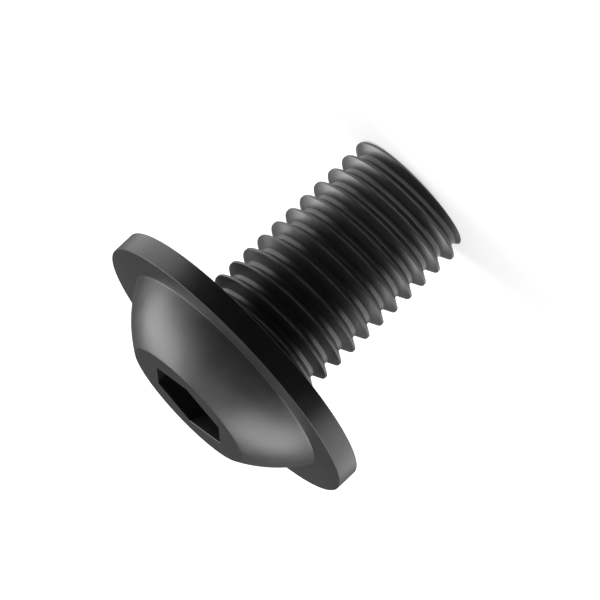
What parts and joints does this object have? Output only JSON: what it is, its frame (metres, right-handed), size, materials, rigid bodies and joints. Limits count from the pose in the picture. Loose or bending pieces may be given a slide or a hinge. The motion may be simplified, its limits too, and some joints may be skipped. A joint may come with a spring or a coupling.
{
  "type": "flanged button head socket screw",
  "caption": "Short machine screw with a low domed head on a wide built-in flange, a hexagon socket and a thread that runs up to the head.",
  "frame": {"origin": "centre of the bearing face, the underside of the flange", "axes": "+Z along the screw's axis, from the tip towards the head; +X through two corners of the hexagon socket"},
  "size_m": [0.0174, 0.0174, 0.0168],
  "materials": {
    "steel": "black oxide, satin"
  },
  "bodies": {
    "root": {"screw": "steel"}
  },
  "joints": []
}
